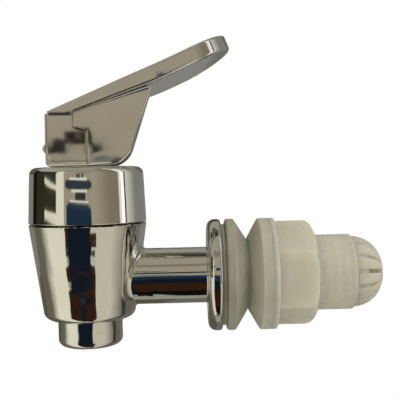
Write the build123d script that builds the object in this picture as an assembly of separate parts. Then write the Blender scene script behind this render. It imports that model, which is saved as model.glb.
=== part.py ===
from build123d import *
import os
from math import atan, cos, degrees, radians, sin, tan

# Beverage dispenser spigot: a lever tap in chrome-plated plastic on a white threaded shank.
# Millimetres, +Z up. The shank lies along X, at z = 0. x = 0 is the back face of the flange,
# which the vessel wall is clamped against, and -X is the side where the drink comes out.
# The valve axis is vertical and stands at x = -REACH.

# Fits between pieces
RUNNING_CLEARANCE = 0.05
SEAT_CLEARANCE = 0.05
STEM_CLEARANCE = 0.25

# Flange and side pipe of the valve body
REACH = 35.2
FLANGE_INSET = 0.7
FLANGE_THICKNESS = 3.7
FLANGE_FRONT_ROUND = 2.1
FLANGE_BACK_BEVEL = 0.9
PIPE_R = 7.4
PIPE_BLEND = 0.9
PIPE_BORE_R = 4.6
SOCKET_R = 5.9
SOCKET_DEPTH = 12.0
SHOULDER_DEPTH = 1.8
SHOULDER_MARGIN = 0.5
JOIN_SAMPLE_SHARE = 0.3
JOIN_TOLERANCE = 0.01

# Cone, chamber and nozzle of the valve body
BODY_R = 15.5
SEAM_Z = 14.7
BODY_TAPER = 8.25
BODY_FLOOR_Z = -10.45
BODY_CORNER_ROUND = 1.9
NECK_STEP = 2.1
NECK_TOP_Z = 22.0
CHAMBER_WALL = 1.9
CHAMBER_DRAFT = 3.0
CHAMBER_FLOOR_Z = -9.0
SEAT_Z = -7.5
SEAT_WIDTH = 1.2
NOZZLE_BORE_SHARE = 0.4
NOZZLE_WALL = 2.3
NOZZLE_END_Z = -17.7
NOZZLE_LIP_ROUND = 2.0

# Bonnet
BONNET_TOP_Z = 29.35
BONNET_DRAFT = 0.6
BONNET_SHOULDER_ROUND = 1.8
BONNET_PLATE = 2.3
BONNET_EDGE_BREAK = 0.3
SPRING_ROOM_WALL = 3.1

# Valve stem, pin and spring
STEM_R = 3.0
STEM_HEAD_R = 3.6
STEM_HEAD_HALF = 5.2
FOOT_MARGIN = 3.2
FOOT_THICKNESS = 2.0
COLLAR_MARGIN = 1.0
COLLAR_THICKNESS = 1.2
PIN_R = 1.5
PIN_POCKET_DEPTH = 1.2
PIN_END_FLOAT = 0.1
PIN_BEVEL_SHARE = 0.2
SPRING_WIRE_R = 0.45
SPRING_INSET = 0.7
SPRING_TURNS = 7
SPRING_END_GAP = 0.06
SPRING_WASHER_OVERHANG = 1.5
SPRING_WASHER_THICKNESS = 0.5

# Seat cup, in silicone
CUP_PLUG_OVERLAP = 0.4
CUP_PLUG_HEIGHT = 5.0
CUP_FLOOR = 1.4
CUP_WALL = 1.2
CUP_MOUTH_MARGIN = 2.1
CUP_RIM_MARGIN = 0.5
CUP_RIM_THICKNESS = 1.6

# Lever: hood with two cheeks, and the paddle on top of it
LEVER_TURN = 4.5
LEVER_GAP_Z = 0.15
CAM_OFFSET = 6.3
CAM_R = 6.3
CHEEK_BACK_ANGLE = 71.6
HOOD_FRONT_X = -9.6
HOOD_CORNER_ROUND = 1.0
HOOD_FRONT_WALL = 1.6
HOOD_ROOF_Z = 42.9
HOOD_ROOF_WALL = 1.6
CHEEK_OUT_Y = 9.6
CHEEK_IN_Y = 7.2
CHEEK_EDGE_ROUND = 0.6
CHEEK_RELIEF = 0.5
RELIEF_UPPER_X = -2.3
RELIEF_LOWER_X = 1.05
RELIEF_STEP_Z = 38.9
PAD_INSET = 0.5
PAD_BASE_INSET = 1.2
PAD_CORNER_ROUND = 2.2
PAD_STEP = 0.35
PADDLE_TILT = 22.0
PADDLE_THICKNESS = 4.2
PADDLE_ROOT_THICKNESS = 2.5
PADDLE_ROOT_X = -9.0
PADDLE_ROOT_Z = 43.35
PADDLE_LENGTH = 50.6
PADDLE_ROOT_HALF = 10.0
PADDLE_WIDEST_HALF = 16.0
PADDLE_WIDEST_AT = 38.0
PADDLE_FLARE = 0.17
PADDLE_BEND_AT = 28.0
PADDLE_BEND_R = 170.0
PADDLE_EDGE_ROUND = 0.8
NUB_Z = 34.0
NUB_RADIUS = 1.1
NUB_HALF_WIDTH = 8.6
NUB_PROUD = 0.75

# Threaded shank and what is on it
THREAD_R = 10.0
THREAD_DEPTH = 0.7
THREAD_START_X = 10.6
SHANK_END_X = 34.7
SHANK_WALL = 2.2
SHANK_BORE_START_X = 3.0
SHANK_END_BEVEL = 0.6
RIM_OVERHANG = 4.8
GASKET_MARGIN = 1.4
GASKET_THICKNESS = 1.1
WASHER_LIP = 0.4
WASHER_CONE = 3.0
OUTER_WASHER_RIM = 2.3
OUTER_WASHER_BEVEL = 0.8
INNER_WASHER_RIM = 2.7
INNER_WASHER_CONE = 2.7
LIP_GAP = 0.9
NUT_RIM = 1.4
NUT_RIM_STEP = 0.8
NUT_TURN = 31.0
NUT_LENGTH = 12.2
NUT_CONE_LENGTH = 1.6
NUT_CONE_ROUND = 2.0
NUT_CONE_WALL = 0.6

# Strainer cap
CAP_STEP = 0.55
CAP_LENGTH = 8.2
CAP_STUB_LENGTH = 4.0
CAP_STUB_WALL = 1.1
CAP_END_WALL = 1.4
CAP_SHOULDER = 0.73
CAP_SLOTS = 14
CAP_SLOT_WIDTH = 1.1
CAP_SLOT_START = 3.0
CAP_SLOT_INNER_SHARE = 0.44
CAP_SLOT_TURN = 5.8

# Sizes and places that follow from those above
NECK_R = BODY_R - NECK_STEP
CHAMBER_R = NECK_R - CHAMBER_WALL
NOZZLE_BORE_R = BODY_R * NOZZLE_BORE_SHARE
NOZZLE_R = NOZZLE_BORE_R + NOZZLE_WALL
BONNET_SHOULDER_R = BODY_R - BONNET_DRAFT
SPRING_ROOM_R = NECK_R - SPRING_ROOM_WALL
SEAT_R = NOZZLE_BORE_R + SEAT_WIDTH
CUP_PLUG_R = SEAT_R + CUP_PLUG_OVERLAP
CUP_MOUTH_R = CHAMBER_R - CUP_MOUTH_MARGIN
CUP_RIM_R = NECK_R - CUP_RIM_MARGIN
FOOT_R = CUP_PLUG_R - FOOT_MARGIN
COLLAR_R = CUP_PLUG_R - CUP_WALL - COLLAR_MARGIN
SPRING_R = COLLAR_R - SPRING_INSET
SPRING_WASHER_R = SPRING_R + SPRING_WASHER_OVERHANG
FLANGE_R = BODY_R - FLANGE_INSET
RIM_R = THREAD_R + RIM_OVERHANG
GASKET_R = RIM_R - GASKET_MARGIN
SHANK_NECK_R = THREAD_R - THREAD_DEPTH
SHANK_BORE_R = THREAD_R - SHANK_WALL
SHOULDER_R = SHANK_NECK_R + SHOULDER_MARGIN
WASHER_LIP_R = SHANK_NECK_R + WASHER_LIP
NUT_CORNER_R = RIM_R - NUT_RIM_STEP
CAP_R = THREAD_R - CAP_STEP
PLUG_TOP_Z = SEAT_Z + CUP_PLUG_HEIGHT
FOOT_Z = SEAT_Z + CUP_FLOOR
COLLAR_TOP_Z = PLUG_TOP_Z + COLLAR_THICKNESS
PLATE_UNDER_Z = BONNET_TOP_Z - BONNET_PLATE
SPRING_TOP_Z = PLATE_UNDER_Z - SPRING_WASHER_THICKNESS
RIM_TOP_Z = NECK_TOP_Z + CUP_RIM_THICKNESS
LEVER_BASE_Z = BONNET_TOP_Z + LEVER_GAP_Z
PIN_Z = LEVER_BASE_Z + CAM_R
PIN_HALF = CHEEK_IN_Y + PIN_POCKET_DEPTH - PIN_END_FLOAT
OUTER_WASHER_X = GASKET_THICKNESS
LIP_X = OUTER_WASHER_X + OUTER_WASHER_RIM + WASHER_CONE
INNER_LIP_X = LIP_X + LIP_GAP
INNER_RIM_X = INNER_LIP_X + INNER_WASHER_CONE
NUT_X = INNER_RIM_X + INNER_WASHER_RIM
STUB_START_X = -SHOULDER_DEPTH - SOCKET_DEPTH


def on_valve_axis(solid):
    """Moves a piece made about the Z axis to the valve axis."""
    return Pos(-REACH, 0, 0) * solid


def on_lever(solid):
    """Moves a piece made in the lever's own frame to the valve axis, turned as the lever stands."""
    return on_valve_axis(Rot(0, 0, LEVER_TURN) * solid)


def outline(*points):
    """A face in the XZ plane with straight sides."""
    return make_face(Plane.XZ * Polyline(*points, close=True))


def rounded(face, x, z, radius):
    """Rounds the corner of an XZ face that lies nearest to x, z."""
    corner = face.vertices().sort_by_distance((x, 0, z))[0]
    return fillet(corner, radius)


def about_z(face):
    """Turns an XZ face of radius and height into a solid about Z."""
    return revolve(face, Axis.Z)


def about_x(face):
    """Turns an XZ face of place and radius into a solid about X."""
    return revolve(face, Axis.X)


def rod_along_x(radius, start, end):
    """A round rod about the X axis."""
    return Pos((start + end) / 2, 0, 0) * Rot(0, 90, 0) * Cylinder(radius, end - start)


def body_radius(z):
    """Outer radius of the tapered body at a height."""
    return BODY_R - (SEAM_Z - z) * tan(radians(BODY_TAPER))


def valve_body():
    """Tapered body, nozzle, side pipe and flange, moulded as one shell around the chamber."""
    floor_r = body_radius(BODY_FLOOR_Z)
    side = outline(
        (0, NOZZLE_END_Z),
        (NOZZLE_R, NOZZLE_END_Z),
        (NOZZLE_R, BODY_FLOOR_Z),
        (floor_r, BODY_FLOOR_Z),
        (BODY_R, SEAM_Z),
        (NECK_R, SEAM_Z),
        (NECK_R, NECK_TOP_Z),
        (0, NECK_TOP_Z),
    )
    side = rounded(side, NOZZLE_R, NOZZLE_END_Z, NOZZLE_LIP_ROUND)
    side = rounded(side, floor_r, BODY_FLOOR_Z, BODY_CORNER_ROUND)
    body = on_valve_axis(about_z(side))

    body += rod_along_x(PIPE_R, -REACH, -FLANGE_THICKNESS / 2)
    join = [edge for edge in body.edges() if is_pipe_join(edge)]
    body = fillet(join, PIPE_BLEND)

    disc = outline((-FLANGE_THICKNESS, 0), (-FLANGE_THICKNESS, FLANGE_R), (0, FLANGE_R), (0, 0))
    disc = rounded(disc, -FLANGE_THICKNESS, FLANGE_R, FLANGE_FRONT_ROUND)
    disc = chamfer(disc.vertices().sort_by_distance((0, 0, FLANGE_R))[0], FLANGE_BACK_BEVEL)
    body += about_x(disc)

    chamber_floor_r = CHAMBER_R - (NECK_TOP_Z - CHAMBER_FLOOR_Z) * tan(radians(CHAMBER_DRAFT))
    chamber = outline(
        (0, NOZZLE_END_Z),
        (NOZZLE_BORE_R, NOZZLE_END_Z),
        (NOZZLE_BORE_R, SEAT_Z),
        (SEAT_R, SEAT_Z),
        (SEAT_R, CHAMBER_FLOOR_Z),
        (chamber_floor_r, CHAMBER_FLOOR_Z),
        (CHAMBER_R, NECK_TOP_Z),
        (0, NECK_TOP_Z),
    )
    body -= on_valve_axis(about_z(chamber))
    body -= rod_along_x(PIPE_BORE_R, -REACH, 0)
    body -= rod_along_x(SOCKET_R, STUB_START_X, 0)
    body -= rod_along_x(SHOULDER_R, -SHOULDER_DEPTH, 0)
    return body


def is_pipe_join(edge):
    """True for the edge where the side pipe leaves the tapered body."""
    point = edge.position_at(JOIN_SAMPLE_SHARE)
    off_axis = (point.Y**2 + point.Z**2) ** 0.5
    return abs(off_axis - PIPE_R) < JOIN_TOLERANCE and point.X < -FLANGE_THICKNESS


def bonnet():
    """Screw-on cap ring that clamps the seat cup and carries the lever."""
    bore_r = NECK_R + RUNNING_CLEARANCE
    skirt = outline(
        (bore_r, SEAM_Z),
        (BODY_R, SEAM_Z),
        (BONNET_SHOULDER_R, BONNET_TOP_Z),
        (STEM_R + STEM_CLEARANCE, BONNET_TOP_Z),
        (STEM_R + STEM_CLEARANCE, PLATE_UNDER_Z),
        (SPRING_ROOM_R, PLATE_UNDER_Z),
        (SPRING_ROOM_R, RIM_TOP_Z),
        (bore_r, RIM_TOP_Z),
    )
    skirt = rounded(skirt, BONNET_SHOULDER_R, BONNET_TOP_Z, BONNET_SHOULDER_ROUND)
    skirt = rounded(skirt, BODY_R, SEAM_Z, BONNET_EDGE_BREAK)
    return on_valve_axis(about_z(skirt))


def seat_cup():
    """Silicone cup: a plug that closes the nozzle, a thin wall and a rim held under the bonnet."""
    cup = outline(
        (0, SEAT_Z),
        (CUP_PLUG_R, SEAT_Z),
        (CUP_PLUG_R, PLUG_TOP_Z),
        (CUP_MOUTH_R, NECK_TOP_Z),
        (CUP_RIM_R, NECK_TOP_Z),
        (CUP_RIM_R, RIM_TOP_Z),
        (CUP_MOUTH_R - CUP_WALL, RIM_TOP_Z),
        (CUP_PLUG_R - CUP_WALL, PLUG_TOP_Z),
        (STEM_R + SEAT_CLEARANCE, PLUG_TOP_Z),
        (STEM_R + SEAT_CLEARANCE, FOOT_Z + FOOT_THICKNESS + SEAT_CLEARANCE),
        (FOOT_R + SEAT_CLEARANCE, FOOT_Z + FOOT_THICKNESS + SEAT_CLEARANCE),
        (FOOT_R + SEAT_CLEARANCE, FOOT_Z - SEAT_CLEARANCE),
        (0, FOOT_Z - SEAT_CLEARANCE),
    )
    return on_valve_axis(about_z(cup))


def valve_stem():
    """Plastic stem: a foot snapped in the plug, a collar for the spring and an eye for the pin."""
    rod = outline(
        (0, FOOT_Z),
        (FOOT_R, FOOT_Z),
        (FOOT_R, FOOT_Z + FOOT_THICKNESS),
        (STEM_R, FOOT_Z + FOOT_THICKNESS),
        (STEM_R, PLUG_TOP_Z + SEAT_CLEARANCE),
        (COLLAR_R, PLUG_TOP_Z + SEAT_CLEARANCE),
        (COLLAR_R, COLLAR_TOP_Z),
        (STEM_R, COLLAR_TOP_Z),
        (STEM_R, PIN_Z),
        (0, PIN_Z),
    )
    head = Pos(0, 0, PIN_Z) * Rot(90, 0, 0) * Cylinder(STEM_HEAD_R, 2 * STEM_HEAD_HALF)
    eye = Pos(0, 0, PIN_Z) * Rot(90, 0, 0) * Cylinder(PIN_R + RUNNING_CLEARANCE, 2 * CHEEK_IN_Y)
    return on_lever(about_z(rod) + head - eye)


def lever_pin():
    """Steel pin through the eye of the stem, with its ends in blind pockets of the cheeks."""
    pin = Rot(90, 0, 0) * Cylinder(PIN_R, 2 * PIN_HALF)
    pin = chamfer(pin.edges().filter_by(GeomType.CIRCLE), PIN_R * PIN_BEVEL_SHARE)
    return on_lever(Pos(0, 0, PIN_Z) * pin)


def return_spring():
    """Wire spring around the stem, from the collar up to the washer under the bonnet."""
    low = COLLAR_TOP_Z + SPRING_WIRE_R + SPRING_END_GAP
    high = SPRING_TOP_Z - SPRING_WIRE_R - SPRING_END_GAP
    pitch = (high - low) / SPRING_TURNS
    path = Pos(0, 0, low) * Helix(pitch, high - low, SPRING_R)
    section = Plane(origin=path @ 0, z_dir=path % 0) * Circle(SPRING_WIRE_R)
    return on_valve_axis(sweep(section, path=path, is_frenet=True))


def spring_washer():
    """Steel washer that lets the spring turn under the bonnet."""
    ring = outline(
        (STEM_R + STEM_CLEARANCE, SPRING_TOP_Z),
        (SPRING_WASHER_R, SPRING_TOP_Z),
        (SPRING_WASHER_R, PLATE_UNDER_Z),
        (STEM_R + STEM_CLEARANCE, PLATE_UNDER_Z),
    )
    return on_valve_axis(about_z(ring))


def paddle_plane():
    """Plane of the paddle's top face: origin at its root, local X up the slope."""
    slope = radians(PADDLE_TILT)
    return Plane(
        origin=(PADDLE_ROOT_X, 0, PADDLE_ROOT_Z),
        x_dir=(cos(slope), 0, sin(slope)),
        z_dir=(-sin(slope), 0, cos(slope)),
    )


def paddle_under_z(x):
    """Height of the straight part of the paddle's underside at a place along the lever."""
    slope = radians(PADDLE_TILT)
    root_x = PADDLE_ROOT_X + PADDLE_ROOT_THICKNESS * sin(slope)
    root_z = PADDLE_ROOT_Z - PADDLE_ROOT_THICKNESS * cos(slope)
    return root_z + (x - root_x) * underside_slope()


def underside_slope():
    """Slope of the underside, less than the top's because the paddle thickens from its root."""
    growth = (PADDLE_THICKNESS - PADDLE_ROOT_THICKNESS) / PADDLE_BEND_AT
    return tan(radians(PADDLE_TILT) - atan(growth))


def paddle_side():
    """Side view of the paddle in its own plane: it thickens, then bends up towards the tip."""
    arc = degrees(2 * (PADDLE_LENGTH - PADDLE_BEND_AT) / PADDLE_BEND_R)
    centre = (PADDLE_BEND_AT, PADDLE_BEND_R)
    bend = CenterArc(centre, PADDLE_BEND_R, -90, arc)
    under_bend = CenterArc(centre, PADDLE_BEND_R + PADDLE_THICKNESS, -90, arc)
    side = Curve() + [
        Line((0, 0), bend @ 0),
        bend,
        Line(bend @ 1, under_bend @ 1),
        under_bend,
        Line(under_bend @ 0, (0, -PADDLE_ROOT_THICKNESS)),
        Line((0, -PADDLE_ROOT_THICKNESS), (0, 0)),
    ]
    return make_face(paddle_upright() * side)


def paddle_upright():
    """Upright plane along the paddle: local X up the slope, local Y out of its top face."""
    flat = paddle_plane()
    return Plane(origin=flat.origin, x_dir=flat.x_dir, z_dir=(0, -1, 0))


def paddle():
    """Thumb paddle: a slab that widens away from the hood and ends in a round tip, bent up."""
    root = (0, PADDLE_ROOT_HALF)
    widest = (PADDLE_WIDEST_AT, PADDLE_WIDEST_HALF)
    flank = Spline(root, widest, tangents=[(1, PADDLE_FLARE), (1, 0)])
    tip_length = PADDLE_LENGTH - PADDLE_WIDEST_AT
    tip = EllipticalCenterArc(
        (PADDLE_WIDEST_AT, 0), tip_length, PADDLE_WIDEST_HALF, start_angle=-90, arc_size=180
    )
    base = Line(root, (0, -PADDLE_ROOT_HALF))
    plan = make_face(Curve() + [flank, mirror(flank, Plane.XZ), tip, base])
    block = extrude(paddle_plane().offset(-2 * PADDLE_THICKNESS) * plan, 4 * PADDLE_THICKNESS)
    slab = block & extrude(paddle_side(), 2 * PADDLE_WIDEST_HALF, both=True)
    rims = [edge for edge in slab.edges() if edge.geom_type != GeomType.LINE]
    slab = fillet(rims, PADDLE_EDGE_ROUND)
    keep = outline(
        (PADDLE_ROOT_X, HOOD_ROOF_Z),
        (2 * PADDLE_LENGTH, HOOD_ROOF_Z),
        (2 * PADDLE_LENGTH, 2 * PADDLE_LENGTH),
        (PADDLE_ROOT_X, 2 * PADDLE_LENGTH),
    )
    return slab & extrude(keep, PADDLE_LENGTH, both=True)


def hood_side():
    """Side view of the hood: flat base, cam behind it, leaning back edge, sloping roof."""
    lean = radians(CHEEK_BACK_ANGLE)
    slope = underside_slope()
    cam_end_x = CAM_OFFSET + CAM_R * sin(lean)
    cam_end_z = PIN_Z - CAM_R * cos(lean)
    back_top_x = (paddle_under_z(0) - cam_end_z + tan(lean) * cam_end_x) / (tan(lean) - slope)
    roof_end_x = PADDLE_ROOT_X + (HOOD_ROOF_Z - paddle_under_z(PADDLE_ROOT_X)) / slope
    face = outline(
        (HOOD_FRONT_X, LEVER_BASE_Z),
        (CAM_OFFSET, LEVER_BASE_Z),
        (cam_end_x, cam_end_z),
        (back_top_x, paddle_under_z(back_top_x)),
        (roof_end_x, HOOD_ROOF_Z),
        (HOOD_FRONT_X, HOOD_ROOF_Z),
    )
    face += Plane.XZ * Pos(CAM_OFFSET, PIN_Z) * Circle(CAM_R)
    return rounded(face, HOOD_FRONT_X, LEVER_BASE_Z, HOOD_CORNER_ROUND)


def relief_side():
    """Side view of the shallow relief at the front of each cheek, with its stepped edge."""
    far = HOOD_FRONT_X - NUB_PROUD - CAM_R
    return outline(
        (far, LEVER_BASE_Z - CAM_R),
        (RELIEF_LOWER_X, LEVER_BASE_Z - CAM_R),
        (RELIEF_LOWER_X, RELIEF_STEP_Z - CHEEK_RELIEF),
        (RELIEF_UPPER_X, RELIEF_STEP_Z + CHEEK_RELIEF),
        (RELIEF_UPPER_X, HOOD_ROOF_Z),
        (far, HOOD_ROOF_Z),
    )


def pad_side():
    """Side view of what stays of the relief: a pad set back from the front and base edges."""
    base_z = LEVER_BASE_Z + PAD_BASE_INSET
    face = outline(
        (HOOD_FRONT_X + PAD_INSET, base_z),
        (PADDLE_LENGTH, base_z),
        (PADDLE_LENGTH, PADDLE_LENGTH),
        (HOOD_FRONT_X + PAD_INSET, PADDLE_LENGTH),
    )
    return rounded(face, HOOD_FRONT_X + PAD_INSET, base_z, PAD_CORNER_ROUND)


def cheek_cut(face, level):
    """What is cut off both cheeks outside a side view's outline, down to a half width."""
    band = Box(8 * CHEEK_OUT_Y, 2 * level, 8 * CHEEK_OUT_Y)
    return extrude(face, 2 * CHEEK_OUT_Y, both=True) - Pos(0, 0, PIN_Z) * band


def lever():
    """Hood and paddle in one moulding, with cam-shaped cheeks that roll on the bonnet."""
    hood = extrude(hood_side(), CHEEK_OUT_Y, both=True)
    flats = hood.faces().filter_by(Axis.Y).sort_by(Axis.Y)
    rims = [
        edge
        for face in (flats[0], flats[-1])
        for edge in face.edges()
        if edge.center().Z < HOOD_ROOF_Z and edge.center().X > 0
    ]
    hood = fillet(rims, CHEEK_EDGE_ROUND)
    relief_level = CHEEK_OUT_Y - CHEEK_RELIEF
    hood -= cheek_cut(relief_side(), relief_level)
    hood -= cheek_cut(relief_side() - pad_side(), relief_level - PAD_STEP)
    inner_front = HOOD_FRONT_X + HOOD_FRONT_WALL
    roof = HOOD_ROOF_Z - HOOD_ROOF_WALL
    back_x = PADDLE_LENGTH
    room = outline(
        (inner_front, LEVER_BASE_Z - CAM_R),
        (back_x, LEVER_BASE_Z - CAM_R),
        (back_x, paddle_under_z(back_x)),
        (0, paddle_under_z(0)),
        (0, roof),
        (inner_front, roof),
    )
    hood -= extrude(room, CHEEK_IN_Y, both=True)
    rib = Rot(90, 0, 0) * Cylinder(NUB_RADIUS, 2 * NUB_HALF_WIDTH)
    rib = Pos(HOOD_FRONT_X + NUB_RADIUS - NUB_PROUD, 0, NUB_Z) * rib
    pocket_r = PIN_R + RUNNING_CLEARANCE
    pocket_half = CHEEK_IN_Y + PIN_POCKET_DEPTH
    pocket = Pos(0, 0, PIN_Z) * Rot(90, 0, 0) * Cylinder(pocket_r, 2 * pocket_half)
    return on_lever(hood + paddle() + rib - pocket)


def threaded_shank():
    """Hollow plastic shank: a stub bonded in the pipe, a plain neck and the threaded length."""
    bonded_stub = SOCKET_R - SEAT_CLEARANCE
    bonded_shoulder = SHOULDER_R - SEAT_CLEARANCE
    side = outline(
        (STUB_START_X + SEAT_CLEARANCE, PIPE_BORE_R),
        (STUB_START_X + SEAT_CLEARANCE, bonded_stub),
        (-SHOULDER_DEPTH + SEAT_CLEARANCE, bonded_stub),
        (-SHOULDER_DEPTH + SEAT_CLEARANCE, bonded_shoulder),
        (0, bonded_shoulder),
        (0, SHANK_NECK_R),
        (THREAD_START_X, SHANK_NECK_R),
        (THREAD_START_X, THREAD_R),
        (SHANK_END_X, THREAD_R),
        (SHANK_END_X, SHANK_BORE_R),
        (SHANK_BORE_START_X, SHANK_BORE_R),
        (0, PIPE_BORE_R),
    )
    side = chamfer(side.vertices().sort_by_distance((SHANK_END_X, 0, THREAD_R))[0], SHANK_END_BEVEL)
    return about_x(side)


def flange_gasket():
    """Thin flat seal between the flange and the outer washer."""
    bore_r = SHANK_NECK_R + SEAT_CLEARANCE
    side = outline(
        (0, bore_r),
        (0, GASKET_R),
        (GASKET_THICKNESS, GASKET_R),
        (GASKET_THICKNESS, bore_r),
    )
    return about_x(side)


def outer_washer():
    """Silicone cone washer outside the vessel: its thin lip centres in the hole of the wall."""
    bore_r = SHANK_NECK_R + SEAT_CLEARANCE
    rim_end = OUTER_WASHER_X + OUTER_WASHER_RIM
    side = outline(
        (OUTER_WASHER_X, bore_r),
        (OUTER_WASHER_X, RIM_R),
        (rim_end, RIM_R),
        (LIP_X, WASHER_LIP_R),
        (LIP_X, bore_r),
    )
    front = side.vertices().sort_by_distance((OUTER_WASHER_X, 0, RIM_R))[0]
    return about_x(chamfer(front, OUTER_WASHER_BEVEL))


def inner_washer():
    """Silicone cone washer inside the vessel, pressed up by the nut."""
    thread_hole = THREAD_R + SEAT_CLEARANCE
    side = outline(
        (INNER_LIP_X, SHANK_NECK_R + SEAT_CLEARANCE),
        (INNER_LIP_X, WASHER_LIP_R),
        (INNER_RIM_X, RIM_R),
        (NUT_X, RIM_R),
        (NUT_X, thread_hole),
        (THREAD_START_X - SEAT_CLEARANCE, thread_hole),
        (THREAD_START_X - SEAT_CLEARANCE, SHANK_NECK_R + SEAT_CLEARANCE),
    )
    return about_x(side)


def shank_nut():
    """Plastic hex nut with a round rim towards the vessel and a long cone at its end."""
    end_x = NUT_X + NUT_LENGTH
    rim_end = NUT_X + NUT_RIM
    turned = outline(
        (NUT_X, 0),
        (NUT_X, RIM_R),
        (rim_end, RIM_R),
        (rim_end + NUT_RIM_STEP, NUT_CORNER_R),
        (end_x - NUT_CONE_LENGTH, NUT_CORNER_R),
        (end_x, THREAD_R + NUT_CONE_WALL),
        (end_x, 0),
    )
    turned = rounded(turned, end_x - NUT_CONE_LENGTH, NUT_CORNER_R, NUT_CONE_ROUND)
    hexagon = Plane.YZ * Rot(0, 0, NUT_TURN) * RegularPolygon(NUT_CORNER_R, 6)
    prism = Pos(NUT_X, 0, 0) * extrude(hexagon, NUT_LENGTH)
    rim = rod_along_x(RIM_R, NUT_X, rim_end)
    nut = about_x(turned) & (prism + rim)
    return nut - rod_along_x(THREAD_R + RUNNING_CLEARANCE, NUT_X, end_x)


def strainer_cap():
    """Domed cap pushed in the end of the shank, with slots that keep fruit and leaves out."""
    stub_r = SHANK_BORE_R - SEAT_CLEARANCE
    stub_start = SHANK_END_X - CAP_STUB_LENGTH
    tip = SHANK_END_X + CAP_LENGTH
    inner_r = stub_r - CAP_STUB_WALL
    dome = dome_face(SHANK_END_X, CAP_R, tip)
    stub = outline((stub_start, 0), (stub_start, stub_r), (SHANK_END_X, stub_r), (SHANK_END_X, 0))
    room_start = SHANK_END_X + CAP_SLOT_START - CAP_END_WALL
    room = dome_face(room_start, inner_r, tip - CAP_END_WALL)
    cap = about_x(dome) + about_x(stub) - about_x(room)
    cap -= rod_along_x(inner_r, stub_start, room_start)
    slot_length = CAP_LENGTH - CAP_SLOT_START + CAP_END_WALL
    slot = Pos(
        SHANK_END_X + CAP_SLOT_START + slot_length / 2,
        0,
        CAP_SLOT_INNER_SHARE * CAP_R + CAP_R / 2,
    ) * Box(slot_length, CAP_SLOT_WIDTH, CAP_R)
    for index in range(CAP_SLOTS):
        angle = CAP_SLOT_TURN + index * 360 / CAP_SLOTS
        cap -= Rot(angle, 0, 0) * slot
    return cap


def dome_face(base_x, radius, tip_x):
    """Half section of a dome about X: full at the base, with a round shoulder and a flat tip."""
    length = tip_x - base_x
    side = Spline(
        (base_x, 0, radius),
        (base_x + CAP_SHOULDER * length, 0, CAP_SHOULDER * radius),
        (tip_x, 0, 0),
        tangents=[(1, 0, 0), (0, 0, -1)],
    )
    axis = Line((tip_x, 0, 0), (base_x, 0, 0))
    base = Line((base_x, 0, 0), (base_x, 0, radius))
    return make_face(Curve() + [side, axis, base])


PIECES = {
    "valve_body": valve_body,
    "bonnet": bonnet,
    "seat_cup": seat_cup,
    "valve_stem": valve_stem,
    "lever_pin": lever_pin,
    "return_spring": return_spring,
    "spring_washer": spring_washer,
    "lever": lever,
    "threaded_shank": threaded_shank,
    "flange_gasket": flange_gasket,
    "outer_washer": outer_washer,
    "inner_washer": inner_washer,
    "shank_nut": shank_nut,
    "strainer_cap": strainer_cap,
}

os.makedirs("parts", exist_ok=True)
for name, make in PIECES.items():
    export_step(make(), f"parts/{name}.step")
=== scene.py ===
from math import atan2, cos, degrees, pi, radians, sin, sqrt, tan

import bmesh
import bpy
from mathutils import Matrix, Vector


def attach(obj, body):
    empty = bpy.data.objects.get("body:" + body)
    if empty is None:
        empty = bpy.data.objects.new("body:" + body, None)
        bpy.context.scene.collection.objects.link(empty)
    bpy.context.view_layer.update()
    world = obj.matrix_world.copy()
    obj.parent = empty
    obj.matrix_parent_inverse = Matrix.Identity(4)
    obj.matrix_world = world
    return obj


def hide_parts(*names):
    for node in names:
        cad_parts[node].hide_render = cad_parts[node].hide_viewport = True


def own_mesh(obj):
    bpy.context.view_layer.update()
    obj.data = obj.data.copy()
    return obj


# Beverage dispenser spigot. The shank lies along X at z = 0, and the valve stands upright at x =
# VALVE_X.
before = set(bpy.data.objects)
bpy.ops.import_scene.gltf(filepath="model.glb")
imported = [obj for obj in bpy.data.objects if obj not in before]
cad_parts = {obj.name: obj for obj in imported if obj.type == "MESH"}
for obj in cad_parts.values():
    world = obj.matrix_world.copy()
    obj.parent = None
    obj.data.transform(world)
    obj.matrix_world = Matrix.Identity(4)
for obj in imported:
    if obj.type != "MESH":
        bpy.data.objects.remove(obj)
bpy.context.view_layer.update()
bpy.context.scene.view_settings.view_transform = "Standard"


# Camera
# A close view from the front, a little above the shank, with the perspective of a short distance.
CAMERA_PLACE = (-0.00816, -0.1801, 0.02522)
CAMERA_YAW = radians(0.93)
CAMERA_PITCH = radians(-1.66)
CAMERA_ROLL = -0.0212
CAMERA_LENS = 60.66

ahead = Vector((
    sin(CAMERA_YAW) * cos(CAMERA_PITCH),
    cos(CAMERA_YAW) * cos(CAMERA_PITCH),
    sin(CAMERA_PITCH),
))
level = Vector((cos(CAMERA_YAW), -sin(CAMERA_YAW), 0))
above = level.cross(ahead)
right = cos(CAMERA_ROLL) * level + sin(CAMERA_ROLL) * above
above = right.cross(ahead)
lens = bpy.data.cameras.new("camera")
lens.lens = CAMERA_LENS
lens.clip_start = 0.01
camera = bpy.data.objects.new("camera", lens)
bpy.context.scene.collection.objects.link(camera)
aim = Matrix((right, above, -ahead)).transposed().to_4x4()
camera.matrix_world = Matrix.Translation(CAMERA_PLACE) @ aim
bpy.context.scene.camera = camera


# Studio: floor
# A seamless white sheet well below the spigot, which stands free in the picture.
FLOOR_Z = -0.075
FLOOR_SIZE = 3.0


def node_material(name):
    """A new material with its nodes, its links and its output node."""
    material = bpy.data.materials.new(name)
    material.use_nodes = True
    nodes = material.node_tree.nodes
    nodes.clear()
    out = nodes.new("ShaderNodeOutputMaterial")
    return material, nodes, material.node_tree.links, out


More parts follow.
